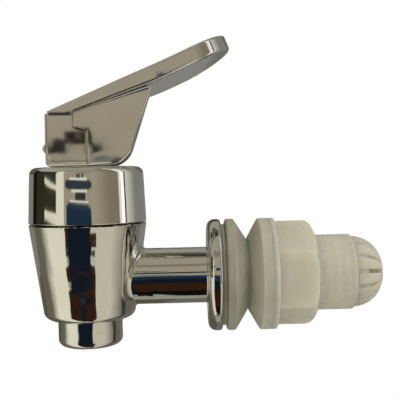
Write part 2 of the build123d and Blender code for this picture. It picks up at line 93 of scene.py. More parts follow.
def studio_object(name, mesh_maker, material):
    """Puts a mesh in the scene as part of the studio and not of the spigot."""
    mesh = bpy.data.meshes.new(name)
    mesh_maker.to_mesh(mesh)
    mesh_maker.free()
    mesh.materials.append(material)
    thing = bpy.data.objects.new(name, mesh)
    bpy.context.scene.collection.objects.link(thing)
    return thing


floor_white, nodes, links, out = node_material("floor_white")
paper = nodes.new("ShaderNodeBsdfDiffuse")
paper.inputs["Color"].default_value = (0.9, 0.9, 0.9, 1)
glow = nodes.new("ShaderNodeEmission")
glow.inputs["Color"].default_value = (1, 1, 1, 1)
path = nodes.new("ShaderNodeLightPath")
mix = nodes.new("ShaderNodeMixShader")
links.new(path.outputs["Is Camera Ray"], mix.inputs["Fac"])
links.new(paper.outputs[0], mix.inputs[1])
links.new(glow.outputs[0], mix.inputs[2])
links.new(mix.outputs[0], out.inputs["Surface"])
sheet = bmesh.new()
floor_place = Matrix.Translation((0, 0, FLOOR_Z))
bmesh.ops.create_grid(sheet, x_segments=1, y_segments=1, size=FLOOR_SIZE, matrix=floor_place)
floor = studio_object("studio_floor", sheet, floor_white)
floor.visible_glossy = False


# Studio: room light
# Even light from all round. Gloss sees a dim warm room, a little paler on the left, and the camera
# sees white.
world = bpy.data.worlds.new("studio")
world.use_nodes = True
bpy.context.scene.world = world
nodes = world.node_tree.nodes
links = world.node_tree.links
nodes.clear()
out = nodes.new("ShaderNodeOutputWorld")
backdrop = nodes.new("ShaderNodeBackground")
backdrop.inputs["Color"].default_value = (1, 1, 1, 1)
soft = nodes.new("ShaderNodeBackground")
soft.inputs["Color"].default_value = (0.83, 0.82, 0.76, 1)
soft.inputs["Strength"].default_value = 0.8
room = nodes.new("ShaderNodeBackground")
place = nodes.new("ShaderNodeTexCoord")
split = nodes.new("ShaderNodeSeparateXYZ")
side = nodes.new("ShaderNodeMapRange")
side.inputs["From Min"].default_value = -1
tone = nodes.new("ShaderNodeValToRGB")
tone.color_ramp.elements[0].color = (0.42, 0.41, 0.35, 1)
tone.color_ramp.elements[1].color = (0.26, 0.26, 0.23, 1)
links.new(place.outputs["Generated"], split.inputs[0])
links.new(split.outputs["X"], side.inputs["Value"])
links.new(side.outputs["Result"], tone.inputs["Fac"])
links.new(tone.outputs["Color"], room.inputs["Color"])
path = nodes.new("ShaderNodeLightPath")
glossy = nodes.new("ShaderNodeMixShader")
seen = nodes.new("ShaderNodeMixShader")
links.new(path.outputs["Is Glossy Ray"], glossy.inputs["Fac"])
links.new(soft.outputs[0], glossy.inputs[1])
links.new(room.outputs[0], glossy.inputs[2])
links.new(path.outputs["Is Camera Ray"], seen.inputs["Fac"])
links.new(glossy.outputs[0], seen.inputs[1])
links.new(backdrop.outputs[0], seen.inputs[2])
links.new(seen.outputs[0], out.inputs["Surface"])


# Studio: key lamp
# One large soft lamp high on the right gives the plastic its form. No gloss sees it.
KEY_PLACE = Vector((0.28, -0.22, 0.38))
KEY_TARGET = Vector((0.02, 0, 0.02))
KEY_ENERGY = 1.1
KEY_SIZE = 0.35

key = bpy.data.lights.new("key", "AREA")
key.energy = KEY_ENERGY
key.shape = "DISK"
key.size = KEY_SIZE
key_lamp = bpy.data.objects.new("key", key)
bpy.context.scene.collection.objects.link(key_lamp)
key_lamp.location = KEY_PLACE
key_lamp.rotation_mode = "QUATERNION"
key_lamp.rotation_quaternion = (KEY_PLACE - KEY_TARGET).to_track_quat("Z", "Y")
key_lamp.visible_glossy = False


# Studio: cards
# Curved cards stand round the spigot, and only its chrome sees them. The low ones show in the
# tapered barrel, the near ones in the bonnet, and the rest in the bonnet, the pipe and the lever.
CARD_CENTRE = (-0.0352, 0, 0.022)
CARD_STEPS = 24
CARD_DISTANCE = 0.45
OUTER_CARD = 0.46
OUTMOST_CARD = 0.47
INNER_CARD = 0.44
INMOST_CARD = 0.43
NEAR_CARD = 0.07
STRIP_WHITE = (1.3, 1.3, 1.22)
PALE = (0.84, 0.82, 0.66)
COOL_PALE = (0.7, 0.7, 0.62)
WARM_PALE = (0.62, 0.59, 0.48)
BEIGE = (0.38, 0.345, 0.26)
DEEP_BEIGE = (0.24, 0.21, 0.15)
GREY = (0.25, 0.25, 0.22)
PLAIN_GREY = (0.24, 0.24, 0.22)
SHELF_GREY = (0.23, 0.22, 0.18)
WARM_GREY = (0.18, 0.17, 0.13)
COOL_GREY = (0.16, 0.16, 0.14)
DUSK = (0.15, 0.14, 0.1)
DEEP_DUSK = (0.11, 0.1, 0.07)
SOOT = (0.05, 0.05, 0.04)
NECK_GREY = (0.03, 0.034, 0.034)
OLIVE = (0.032, 0.03, 0.016)
SLATE = (0.03, 0.045, 0.06)
NAVY = (0.013, 0.032, 0.062)
DEEP_NAVY = (0.007, 0.012, 0.022)
BROWN = (0.036, 0.014, 0.007)
BLACK = (0.006, 0.005, 0.004)


def card(name, start, end, low, high, colour, distance=CARD_DISTANCE, last=None):
    """A curved upright card between two bearings and two heights, in degrees seen from the valve.

    A bearing of 0 is towards the camera, and bearings grow to the camera's right. Its colour fades
    to the last one along the card.
    """
    material, nodes, links, out = node_material(name)
    light = nodes.new("ShaderNodeEmission")
    shade = nodes.new("ShaderNodeAttribute")
    shade.attribute_name = "shade"
    links.new(shade.outputs["Color"], light.inputs["Color"])
    links.new(light.outputs[0], out.inputs["Surface"])
    bm = bmesh.new()
    ends = [bm.verts.new((0, -distance, distance * tan(radians(angle)))) for angle in (low, high)]
    edge = bm.edges.new(ends)
    bearing = Matrix.Rotation(radians(start), 3, "Z")
    bmesh.ops.rotate(bm, verts=bm.verts, cent=(0, 0, 0), matrix=bearing)
    bmesh.ops.spin(
        bm, geom=[*ends, edge], cent=(0, 0, 0), axis=(0, 0, 1), dvec=(0, 0, 0),
        angle=radians(end - start), steps=CARD_STEPS, use_merge=False, use_duplicate=False,
    )
    shades = bm.verts.layers.float_color.new("shade")
    for point in bm.verts:
        along = (degrees(atan2(point.co.x, -point.co.y)) - start + 1) % 360 - 1
        share = along / (end - start)
        point[shades] = (*Vector(colour).lerp(Vector(last or colour), share), 1)
    bmesh.ops.translate(bm, verts=bm.verts, vec=CARD_CENTRE)
    thing = studio_object(name, bm, material)
    thing.visible_camera = False
    thing.visible_diffuse = False
    thing.visible_shadow = False
    thing.visible_transmission = False


card("card_left_back", -180, -122, -75, 30, DEEP_DUSK)
card("card_left_dusk", -122, -96, -75, -8, DUSK)
card("card_left_half", -96, -74, -75, -8, DUSK, CARD_DISTANCE, PALE)
card("card_left_low", -74, -38, -75, -5, PALE)
card("card_black_left", -116, -106, -5, 30, BLACK, INNER_CARD)
card("card_olive", -122, -54, -5, 30, OLIVE)
card("card_slot_high", -81, -53, 3.6, 4.3, PALE, INNER_CARD)
card("card_slot_low", -81, -53, -0.5, 0.6, PALE, INNER_CARD)
card("card_left_upright", -53, -37, -5, 30, PALE)
card("card_left_beige", -37, -24, -5, 30, BEIGE, OUTER_CARD)
card("card_navy", -32, 15, -9, 2.3, NAVY)
card("card_navy_shoulder", -28, 11, 2.3, 2.7, NAVY)
card("card_deep_navy", -34, 14, -28, -9, DEEP_NAVY, INNER_CARD)
card("card_patch", -27.5, 13, 4.7, 7.25, SLATE, NEAR_CARD)
card("card_patch_ends", -30, 16, 5.2, 6.8, SLATE, NEAR_CARD)
card("card_ring_high", -22.5, 8, 7.25, 7.9, PALE, NEAR_CARD)
card("card_ring_middle", -19, 8, 3.9, 4.7, PALE, NEAR_CARD)
card("card_ring_low", -22.5, 10, 1.15, 1.7, PALE, NEAR_CARD)
card("card_neck", -12.5, 5, 1.7, 3.9, NECK_GREY, NEAR_CARD)
card("card_neck_left", -12, -5.2, 5.2, 6.2, OLIVE, INMOST_CARD)
card("card_spot_left", -4.2, -1.5, 4, 5.3, BLACK, INMOST_CARD)
card("card_spot_middle", -1.6, 1.2, 4.8, 6.5, BLACK, INMOST_CARD)
card("card_spot_right", 0.9, 2.7, 3.8, 5.1, BLACK, INMOST_CARD)
card("card_navy_high", -8, 14, 12, 17.5, NAVY, INNER_CARD)
card("card_blot_left", -39, -33, -21.8, -19, BROWN, INMOST_CARD)
card("card_blot_right", 12, 25, -22.3, -19, BROWN, INMOST_CARD)
card("card_brown_left", -42, -15, -75, -24, BROWN, INNER_CARD)
card("card_navy_foot", -15, -3, -75, -28, DEEP_NAVY)
card("card_brown_right", -3, 22, -60, -24, BROWN, INNER_CARD)
card("card_black_foot", -8, 20, -86, -60, BLACK, INNER_CARD)
card("card_beige_high", -24, 22, 2.7, 75, BEIGE)
card("card_shelf", -50, 50, 41, 52, SHELF_GREY, INNER_CARD)
card("card_beige", 15, 26, -9, 2.7, BEIGE)
card("card_beige_fading", 22, 52, -15, 75, BEIGE, CARD_DISTANCE, DEEP_BEIGE)
card("card_deep_beige", 52, 76, -15, 75, DEEP_BEIGE)
card("card_right_low", 14, 56, -75, -13, WARM_PALE)
card("card_right_low_fading", 56, 94, -75, -13, WARM_PALE, INNER_CARD, WARM_GREY)
card("card_strip_edge", 70, 75, -10, 70, DEEP_BEIGE, INNER_CARD, STRIP_WHITE)
card("card_strip", 75, 84, -10, 70, STRIP_WHITE)
card("card_strip_line", 84, 86.5, -10, 70, BLACK)
card("card_right_pale", 88, 114, -10, 70, COOL_PALE, CARD_DISTANCE, GREY)
card("card_right_low_black", 94, 108, -75, -10, SOOT)
card("card_right_low_dusk", 108, 140, -75, -10, DUSK)
card("card_right_grey", 114, 142, -10, 70, GREY)
card("card_right_back", 142, 180, -75, 30, COOL_GREY, OUTMOST_CARD)
card("card_behind", 120, 240, -15, 4, PLAIN_GREY)


# Valve body
# One hollow moulding in chrome-plated plastic: a tapered barrel with a round lower corner, a
# nozzle under it, and a side pipe that ends in the flange for the vessel wall.
VALVE_X = -35.2
BARREL_R = 15.5
BARREL_TAPER = radians(8.25)
BARREL_FLOOR_Z = -10.45
BARREL_CORNER = 1.75
SEAM_Z = 14.7
SEAM_GROOVE_Z = 14.42
SEAM_GROOVE_R = 14.8
SEAM_EDGE = 0.2
# Above this height the body's base colour is painted dark: painted shade in the gap under the
# bonnet, with some grime.
SEAM_SHADE_AND_GRIME_Z = 0.0143
SEAM_SHADE_AND_GRIME_UNEVEN = 0.0005
PIPE_CALM_START = -0.022
PIPE_CALM_END = -0.018
NECK_R = 13.4
NECK_TOP_Z = 22.0
CHAMBER_TOP_R = 11.5
CHAMBER_FLOOR_R = 9.9
CHAMBER_FLOOR_Z = -9.0
SEAT_R = 7.4
SEAT_Z = -7.5
NOZZLE_R = 8.5
NOZZLE_BORE_R = 6.2
NOZZLE_END_Z = -17.7
NOZZLE_LIP = 1.7
NOZZLE_BORE_EDGE = 0.5
NOZZLE_ROOT = 0.3
PIPE_R = 7.4
PIPE_BORE_R = 4.6
PIPE_BLEND = 0.9
PIPE_JOIN_X = -20.0
PIPE_SUNK = 1.5
JOIN_STEPS = 6
JOIN_STEP = 0.1
JOIN_SUNK = 0.03
SOCKET_R = 5.9
SOCKET_X = -13.8
RECESS_R = 9.8
RECESS_X = -1.8
FLANGE_R = 14.8
FLANGE_FRONT_X = -3.7
FLANGE_FRONT_ROUND = 2.1
FLANGE_BACK_ROUND = 0.9
FLANGE_ROOT = 0.35
ROUND_SEGMENTS = 10
TURN_STEPS = 128
WELD_DISTANCE = 0.0005
SHARP_ANGLE = radians(35)


def ring_outline(*corners):
    """A closed wire in the XZ plane. A corner is x, z and how far its rounding reaches."""
    bm = bmesh.new()
    points = [bm.verts.new((corner[0], 0, corner[1])) for corner in corners]
    for here, there in zip(points, points[1:] + points[:1]):
        bm.edges.new((here, there))
    for point, corner in zip(points, corners):
        if len(corner) == 3:
            bmesh.ops.bevel(
                bm, geom=[point], offset=corner[2], offset_type="OFFSET", segments=ROUND_SEGMENTS,
                profile=0.5, affect="VERTICES", material=-1,
            )
    return bm


def turned(bm, axis, steps=TURN_STEPS):
    """Spins a closed wire once about the X or Z axis."""
    bmesh.ops.spin(
        bm, geom=[*bm.verts, *bm.edges], cent=(0, 0, 0), axis=axis, dvec=(0, 0, 0), angle=2 * pi,
        steps=steps, use_merge=True, use_duplicate=False,
    )
    bmesh.ops.remove_doubles(bm, verts=bm.verts, dist=WELD_DISTANCE)
    bmesh.ops.recalc_face_normals(bm, faces=bm.faces)
    return bm


def piece(bm, name):
    """Makes an object of a mesh in millimetres, shaded smooth but for its sharp edges."""
    bmesh.ops.scale(bm, vec=(0.001, 0.001, 0.001), verts=bm.verts)
    mesh = bpy.data.meshes.new(name)
    bm.to_mesh(mesh)
    bm.free()
    mesh.shade_smooth()
    mesh.set_sharp_from_angle(angle=SHARP_ANGLE)
    thing = bpy.data.objects.new(name, mesh)
    bpy.context.scene.collection.objects.link(thing)
    return thing


def assembled(thing, body, slot, material, *nodes):
    """Gives a piece its body and material, and hides the solids that it stands for. The slot is
    not used.
    """
    thing.data.materials.clear()
    thing.data.materials.append(material)
    thing.modifiers.new("flat", "WEIGHTED_NORMAL").keep_sharp = True
    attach(thing, body)
    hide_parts(*nodes)


def chrome(name, peel, haze_most, pipe_share=1.0, seam=1.0):
    """Chrome plating over moulded plastic: bright, with the slight waviness of the moulding.

    The side pipe can have a smaller share of the waviness than the rest. Above the height of a
    seam, in metres, the base colour is painted dark, as painted shade in the gap under the bonnet
    and some grime, with an uneven edge.
    """
    material, nodes, links, out = node_material(name)
    shader = nodes.new("ShaderNodeBsdfPrincipled")
    shader.inputs["Metallic"].default_value = 1.0
    place = nodes.new("ShaderNodeTexCoord")
    haze = nodes.new("ShaderNodeTexNoise")
    haze.inputs["Scale"].default_value = 140
    haze.inputs["Detail"].default_value = 4
    haze_range = nodes.new("ShaderNodeMapRange")
    haze_range.inputs["To Min"].default_value = 0.02
    haze_range.inputs["To Max"].default_value = haze_most
    tint = nodes.new("ShaderNodeValToRGB")
    tint.color_ramp.elements[0].color = (0.72, 0.7, 0.66, 1)
    tint.color_ramp.elements[1].color = (0.84, 0.83, 0.8, 1)
    wave = nodes.new("ShaderNodeTexNoise")
    wave.inputs["Scale"].default_value = 130
    wave.inputs["Detail"].default_value = 1
    bump = nodes.new("ShaderNodeBump")
    bump.inputs["Strength"].default_value = 1.0
    bump.inputs["Distance"].default_value = peel
    for texture in (haze, wave):
        links.new(place.outputs["Object"], texture.inputs["Vector"])
    links.new(haze.outputs["Fac"], haze_range.inputs["Value"])
    links.new(haze_range.outputs["Result"], shader.inputs["Roughness"])
    links.new(haze.outputs["Fac"], tint.inputs["Fac"])
    split = nodes.new("ShaderNodeSeparateXYZ")
    uneven = nodes.new("ShaderNodeTexNoise")
    uneven.inputs["Scale"].default_value = 700
    uneven_range = nodes.new("ShaderNodeMapRange")
    uneven_range.inputs["To Min"].default_value = -SEAM_SHADE_AND_GRIME_UNEVEN
    uneven_range.inputs["To Max"].default_value = SEAM_SHADE_AND_GRIME_UNEVEN
    edge = nodes.new("ShaderNodeMath")
    edge.operation = "ADD"
    past = nodes.new("ShaderNodeMapRange")
    past.inputs["From Min"].default_value = seam
    past.inputs["From Max"].default_value = seam + 0.0001
    # Painted shade with some grime: above the seam height the base colour turns near black.
    shade_and_grime = nodes.new("ShaderNodeMixRGB")
    shade_and_grime.inputs["Color2"].default_value = (0.03, 0.025, 0.02, 1)
    links.new(place.outputs["Object"], uneven.inputs["Vector"])
    links.new(uneven.outputs["Fac"], uneven_range.inputs["Value"])
    links.new(split.outputs["Z"], edge.inputs[0])
    links.new(uneven_range.outputs["Result"], edge.inputs[1])
    links.new(edge.outputs["Value"], past.inputs["Value"])
    links.new(past.outputs["Result"], shade_and_grime.inputs["Fac"])
    links.new(tint.outputs["Color"], shade_and_grime.inputs["Color1"])
    links.new(shade_and_grime.outputs["Color"], shader.inputs["Base Color"])
    calm = nodes.new("ShaderNodeMapRange")
    calm.inputs["From Min"].default_value = PIPE_CALM_START
    calm.inputs["From Max"].default_value = PIPE_CALM_END
    calm.inputs["To Min"].default_value = 1.0
    calm.inputs["To Max"].default_value = pipe_share
    height = nodes.new("ShaderNodeMath")
    height.operation = "MULTIPLY"
    links.new(place.outputs["Object"], split.inputs[0])
    links.new(split.outputs["X"], calm.inputs["Value"])
    links.new(wave.outputs["Fac"], height.inputs[0])
    links.new(calm.outputs["Result"], height.inputs[1])
    links.new(height.outputs["Value"], bump.inputs["Height"])
    links.new(bump.outputs["Normal"], shader.inputs["Normal"])
    links.new(shader.outputs[0], out.inputs["Surface"])
    return material


def barrel_radius(z):
    """Radius of the barrel at a height."""
    return BARREL_R - (SEAM_Z - z) * tan(BARREL_TAPER)


barrel = ring_outline(
    (NOZZLE_BORE_R, NOZZLE_END_Z, NOZZLE_BORE_EDGE),
    (NOZZLE_R, NOZZLE_END_Z, NOZZLE_LIP),
    (NOZZLE_R, BARREL_FLOOR_Z, NOZZLE_ROOT),
    (barrel_radius(BARREL_FLOOR_Z), BARREL_FLOOR_Z, BARREL_CORNER),
    (BARREL_R, SEAM_GROOVE_Z, SEAM_EDGE),
    (SEAM_GROOVE_R, SEAM_GROOVE_Z),
    (SEAM_GROOVE_R, SEAM_Z),
    (NECK_R, SEAM_Z),
    (NECK_R, NECK_TOP_Z),
    (CHAMBER_TOP_R, NECK_TOP_Z),
    (CHAMBER_FLOOR_R, CHAMBER_FLOOR_Z),
    (SEAT_R, CHAMBER_FLOOR_Z),
    (SEAT_R, SEAT_Z),
    (NOZZLE_BORE_R, SEAT_Z),
)
turned(barrel, (0, 0, 1))
bmesh.ops.translate(barrel, verts=barrel.verts, vec=(VALVE_X, 0, 0))

join_rings = [(PIPE_JOIN_X - JOIN_STEP * index, PIPE_R) for index in range(JOIN_STEPS + 1)]
pipe = ring_outline(
    *join_rings,
    (PIPE_JOIN_X - JOIN_STEP * (JOIN_STEPS + 1), PIPE_BORE_R),
    (SOCKET_X, PIPE_BORE_R),
    (SOCKET_X, SOCKET_R),
    (RECESS_X, SOCKET_R),
    (RECESS_X, RECESS_R),
    (0, RECESS_R),
    (0, FLANGE_R, FLANGE_BACK_ROUND),
    (FLANGE_FRONT_X, FLANGE_R, FLANGE_FRONT_ROUND),
    (FLANGE_FRONT_X, PIPE_R, FLANGE_ROOT),
)
turned(pipe, (1, 0, 0))
for point in pipe.verts:
    index = round((PIPE_JOIN_X - point.co.x) / JOIN_STEP)
    if index < 0:
        continue
    turn = min(index, JOIN_STEPS) / JOIN_STEPS * pi / 2
    reach = sqrt(point.co.y ** 2 + point.co.z ** 2)
    if index <= JOIN_STEPS:
        grown = (PIPE_R + PIPE_BLEND * (1 - cos(turn))) / reach
        point.co.y *= grown
        point.co.z *= grown
    barrel_x = VALVE_X + sqrt(barrel_radius(point.co.z) ** 2 - point.co.y ** 2)
    sunk = JOIN_SUNK if index <= JOIN_STEPS else PIPE_SUNK
    point.co.x = barrel_x + PIPE_BLEND * (1 - sin(turn)) - sunk
joined = bpy.data.meshes.new("pipe")
pipe.to_mesh(joined)
pipe.free()
barrel.from_mesh(joined)
bpy.data.meshes.remove(joined)
# The body's plating above the seam is painted dark, as painted shade in the gap under the bonnet
# with some grime.
body_chrome = chrome(
    "chrome_body", peel=0.0003, haze_most=0.09, pipe_share=0.05, seam=SEAM_SHADE_AND_GRIME_Z,
)
assembled(piece(barrel, "body_shell"), "tap_body", "chrome_plate", body_chrome, "valve_body")


# Bonnet
# Chromed ring screwed over the neck of the body, slightly conical, with a soft upper edge. The
# lever's cheeks rock on its flat top, and the stem comes up through its middle.
BONNET_BORE_R = 13.45
BONNET_FOOT_Z = 14.75
BONNET_FOOT_EDGE = 0.3
BONNET_TOP_R = 14.9
BONNET_TOP_Z = 29.35
BONNET_SHOULDER = 1.75
PLATE_UNDER_Z = 27.05
STEM_HOLE_R = 3.25
STEM_HOLE_EDGE = 0.3
SPRING_ROOM_R = 10.3
CUP_RIM_TOP_Z = 23.6

bonnet = ring_outline(
    (BONNET_BORE_R, BONNET_FOOT_Z),
    (BARREL_R, BONNET_FOOT_Z, BONNET_FOOT_EDGE),
    (BONNET_TOP_R, BONNET_TOP_Z, BONNET_SHOULDER),
    (STEM_HOLE_R, BONNET_TOP_Z, STEM_HOLE_EDGE),
    (STEM_HOLE_R, PLATE_UNDER_Z),
    (SPRING_ROOM_R, PLATE_UNDER_Z),
    (SPRING_ROOM_R, CUP_RIM_TOP_Z),
    (BONNET_BORE_R, CUP_RIM_TOP_Z),
)
turned(bonnet, (0, 0, 1))
bmesh.ops.translate(bonnet, verts=bonnet.verts, vec=(VALVE_X, 0, 0))
bonnet_chrome = chrome("chrome_bonnet", peel=0.00003, haze_most=0.07)
assembled(piece(bonnet, "bonnet_ring"), "tap_body", "chrome_plate", bonnet_chrome, "bonnet")


# Seat cup
# Silicone moulding inside the body: its plug closes the nozzle and its rim is held by the bonnet.
CUP_PLUG_R = 7.8
CUP_PLUG_EDGE = 0.3
CUP_PLUG_TOP_Z = -2.5
CUP_FOOT_IN_R = 6.6
CUP_MOUTH_OUT_R = 9.4
CUP_MOUTH_IN_R = 8.2
CUP_RIM_R = 12.9
CUP_POCKET_R = 4.65
CUP_POCKET_TOP_Z = -3.7
CUP_POCKET_FLOOR_Z = -6.15
CUP_STEM_R = 3.05
CUP_STEPS = 64


def moulding(name, light, dark, roughness, depth, grain, through=0.0):
    """Milky plastic or silicone that light enters, or passes through, with faint cloudiness."""
    material, nodes, links, out = node_material(name)
    shader = nodes.new("ShaderNodeBsdfPrincipled")
    shader.inputs["Subsurface Weight"].default_value = 1.0
    shader.inputs["Subsurface Scale"].default_value = depth
    shader.inputs["Subsurface Radius"].default_value = (1.0, 0.9, 0.7)
    shader.inputs["IOR"].default_value = 1.48
    place = nodes.new("ShaderNodeTexCoord")
    cloud = nodes.new("ShaderNodeTexNoise")
    cloud.inputs["Scale"].default_value = 160
    cloud.inputs["Detail"].default_value = 5
    tint = nodes.new("ShaderNodeValToRGB")
    tint.color_ramp.elements[0].position = 0.3
    tint.color_ramp.elements[1].position = 0.7
    tint.color_ramp.elements[0].color = (*dark, 1)
    tint.color_ramp.elements[1].color = (*light, 1)
    rough = nodes.new("ShaderNodeMapRange")
    rough.inputs["To Min"].default_value = roughness - 0.06
    rough.inputs["To Max"].default_value = roughness + 0.06
    fine = nodes.new("ShaderNodeTexNoise")
    fine.inputs["Scale"].default_value = 900
    fine.inputs["Detail"].default_value = 3
    bump = nodes.new("ShaderNodeBump")
    bump.inputs["Distance"].default_value = grain
    for texture in (cloud, fine):
        links.new(place.outputs["Object"], texture.inputs["Vector"])
    speck = nodes.new("ShaderNodeTexVoronoi")
    speck.inputs["Scale"].default_value = 260
    speck_range = nodes.new("ShaderNodeMapRange")
    speck_range.inputs["From Min"].default_value = 0.05
    speck_range.inputs["From Max"].default_value = 0.09
    speck_range.inputs["To Min"].default_value = 0.72
    specked = nodes.new("ShaderNodeMixRGB")
    specked.blend_type = "MULTIPLY"
    specked.inputs["Fac"].default_value = 1.0
    links.new(place.outputs["Object"], speck.inputs["Vector"])
    links.new(speck.outputs["Distance"], speck_range.inputs["Value"])
    links.new(cloud.outputs["Fac"], tint.inputs["Fac"])
    links.new(tint.outputs["Color"], specked.inputs["Color1"])
    links.new(speck_range.outputs["Result"], specked.inputs["Color2"])
    links.new(specked.outputs["Color"], shader.inputs["Base Color"])
    links.new(fine.outputs["Fac"], rough.inputs["Value"])
    links.new(rough.outputs["Result"], shader.inputs["Roughness"])
    links.new(fine.outputs["Fac"], bump.inputs["Height"])
    links.new(bump.outputs["Normal"], shader.inputs["Normal"])
    milk = nodes.new("ShaderNodeBsdfTranslucent")
    mix = nodes.new("ShaderNodeMixShader")
    mix.inputs["Fac"].default_value = through
    links.new(tint.outputs["Color"], milk.inputs["Color"])
    links.new(shader.outputs[0], mix.inputs[1])
    links.new(milk.outputs[0], mix.inputs[2])
    links.new(mix.outputs[0], out.inputs["Surface"])
    return material


silicone = moulding(
    "silicone", light=(0.66, 0.63, 0.52), dark=(0.58, 0.55, 0.43), roughness=0.42, depth=0.003,
    grain=0.00001, through=0.3,
)
cup = ring_outline(
    (0, SEAT_Z),
    (CUP_PLUG_R, SEAT_Z, CUP_PLUG_EDGE),
    (CUP_PLUG_R, CUP_PLUG_TOP_Z),
    (CUP_MOUTH_OUT_R, NECK_TOP_Z),
    (CUP_RIM_R, NECK_TOP_Z),
    (CUP_RIM_R, CUP_RIM_TOP_Z),
    (CUP_MOUTH_IN_R, CUP_RIM_TOP_Z),
    (CUP_FOOT_IN_R, CUP_PLUG_TOP_Z),
    (CUP_STEM_R, CUP_PLUG_TOP_Z),
    (CUP_STEM_R, CUP_POCKET_TOP_Z),
    (CUP_POCKET_R, CUP_POCKET_TOP_Z),
    (CUP_POCKET_R, CUP_POCKET_FLOOR_Z),
    (0, CUP_POCKET_FLOOR_Z),
)
turned(cup, (0, 0, 1), CUP_STEPS)
bmesh.ops.translate(cup, verts=cup.verts, vec=(VALVE_X, 0, 0))
cup = piece(cup, "seat_cup_silicone")
assembled(cup, "tap_body", "silicone", silicone, "seat_cup")
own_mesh(cup)


# Stem, pin, spring and spring washer
# A moulded white stem carries the steel pin that the lever turns on. A wire spring round it
# presses the plug down, and turns with the lever under a thin steel washer.
SPRING_R = 4.9
SPRING_WIRE_R = 0.45
SPRING_WIRE_SIDES = 10
SPRING_LOW = -0.79
SPRING_HIGH = 26.04
SPRING_TURNS = 7
SPRING_STEPS = 48

stem_white = moulding(
    "stem_white", light=(0.72, 0.71, 0.68), dark=(0.66, 0.65, 0.62), roughness=0.3, depth=0.0006,
    grain=0.000005,
)
steel, nodes, links, out = node_material("bare_steel")
shader = nodes.new("ShaderNodeBsdfPrincipled")
shader.inputs["Metallic"].default_value = 1.0
place = nodes.new("ShaderNodeTexCoord")
stretch = nodes.new("ShaderNodeMapping")
stretch.inputs["Scale"].default_value = (1, 1, 12)
scratch = nodes.new("ShaderNodeTexNoise")
scratch.inputs["Scale"].default_value = 300
tint = nodes.new("ShaderNodeValToRGB")
tint.color_ramp.elements[0].color = (0.42, 0.42, 0.42, 1)
tint.color_ramp.elements[1].color = (0.62, 0.61, 0.6, 1)
rough = nodes.new("ShaderNodeMapRange")
rough.inputs["To Min"].default_value = 0.22
rough.inputs["To Max"].default_value = 0.4
links.new(place.outputs["Object"], stretch.inputs["Vector"])
links.new(stretch.outputs[0], scratch.inputs["Vector"])
links.new(scratch.outputs["Fac"], tint.inputs["Fac"])
links.new(tint.outputs["Color"], shader.inputs["Base Color"])
links.new(scratch.outputs["Fac"], rough.inputs["Value"])
links.new(rough.outputs["Result"], shader.inputs["Roughness"])
links.new(shader.outputs[0], out.inputs["Surface"])

wire = bmesh.new()
section = bmesh.ops.create_circle(
    wire, cap_ends=True, segments=SPRING_WIRE_SIDES, radius=SPRING_WIRE_R,
)["verts"]
bmesh.ops.rotate(wire, verts=section, cent=(0, 0, 0), matrix=Matrix.Rotation(pi / 2, 3, "X"))
bmesh.ops.translate(wire, verts=section, vec=(SPRING_R, 0, SPRING_LOW))
rise = (SPRING_HIGH - SPRING_LOW) / (SPRING_TURNS * SPRING_STEPS)
bmesh.ops.spin(
    wire, geom=[*wire.verts, *wire.edges, *wire.faces], cent=(0, 0, 0), axis=(0, 0, 1),
    dvec=(0, 0, rise), angle=2 * pi * SPRING_TURNS, steps=SPRING_TURNS * SPRING_STEPS,
    use_merge=False, use_duplicate=False,
)
bmesh.ops.recalc_face_normals(wire, faces=wire.faces)
bmesh.ops.translate(wire, verts=wire.verts, vec=(VALVE_X, 0, 0))
spring = piece(wire, "spring_wire")
assembled(spring, "spring_pack", "steel", steel, "return_spring")
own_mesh(spring)
for node, material in (("valve_stem", stem_white), ("lever_pin", steel), ("spring_washer", steel)):
    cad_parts[node].data.materials.clear()
    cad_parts[node].data.materials.append(material)


# Lever: hood and cheeks
# One moulding in chromed plastic. The hood is a box open below and behind, whose cheeks are cams.
# The front of each cheek is stepped back, with a seam along the step, a low pad with a border, and
# a groove above.
LEVER_TURN = radians(4.5)
HOOD_FRONT = -9.6
HOOD_BASE = 29.5
HOOD_HALF = 9.6
HOOD_CORNER = 1.0
HOOD_ROOF_Z = 42.9
HOOD_ROOF_EDGE = 0.3
ROOF_REAR = (-1.0, 44.0)
ROOF_FRONT = (-8.2, 43.2)
ROOF_LIP = (-8.6, HOOD_ROOF_Z)
INSIDE_FRONT = -8.0
INSIDE_HALF = 7.2
INSIDE_ROOF_Z = 41.3
INSIDE_SLOPE_LOW = (0, 44)
INSIDE_SLOPE_HIGH = (60, 64.1)
CHEEK_TIP = (17.8, 50.4)
CHEEK_EDGE = 0.6
CHEEK_EDGE_TOP_Z = 43
CAM_REACH = 4.54
CAM_CORNER_X = 10.85
STEP_UPPER_X = -2.3
STEP_UPPER_Z = 39.4
STEP_LOWER_X = 1.05
STEP_LOWER_Z = 38.4
RELIEF_HALF = 9.1
CHEEK_SEAM_WIDTH = 0.4
CHEEK_SEAM_DROP = 0.3
CHEEK_SEAM_HALF = 8.5
CHEEK_SEAM_LOW_Z = 30.0
CHEEK_SEAM_HIGH_Z = 42.7
BORDER_HALF = 8.75
PAD_FRONT = -9.1
PAD_BASE = 30.7
PAD_CORNER = 2.2
PAD_EDGE = 0.2
GROOVE_HALF = 8.3
GROOVE_Z = 42.45
GROOVE_END_X = -2.5
GROOVE_SLANT = 0.4
CUT_FRONT = -20
CUT_SIDE = 20
CUT_BELOW = 20
CUT_ABOVE = 60
LEVEL_WITHIN = 0.01
CUT_WITHIN = 0.001


def edges_rounded(bm, edges, reach, segments):
    """Rounds edges of a mesh by a reach in millimetres."""
    bmesh.ops.bevel(
        bm, geom=edges, offset=reach, offset_type="OFFSET", segments=segments, profile=0.5,
        affect="EDGES", material=-1,
    )


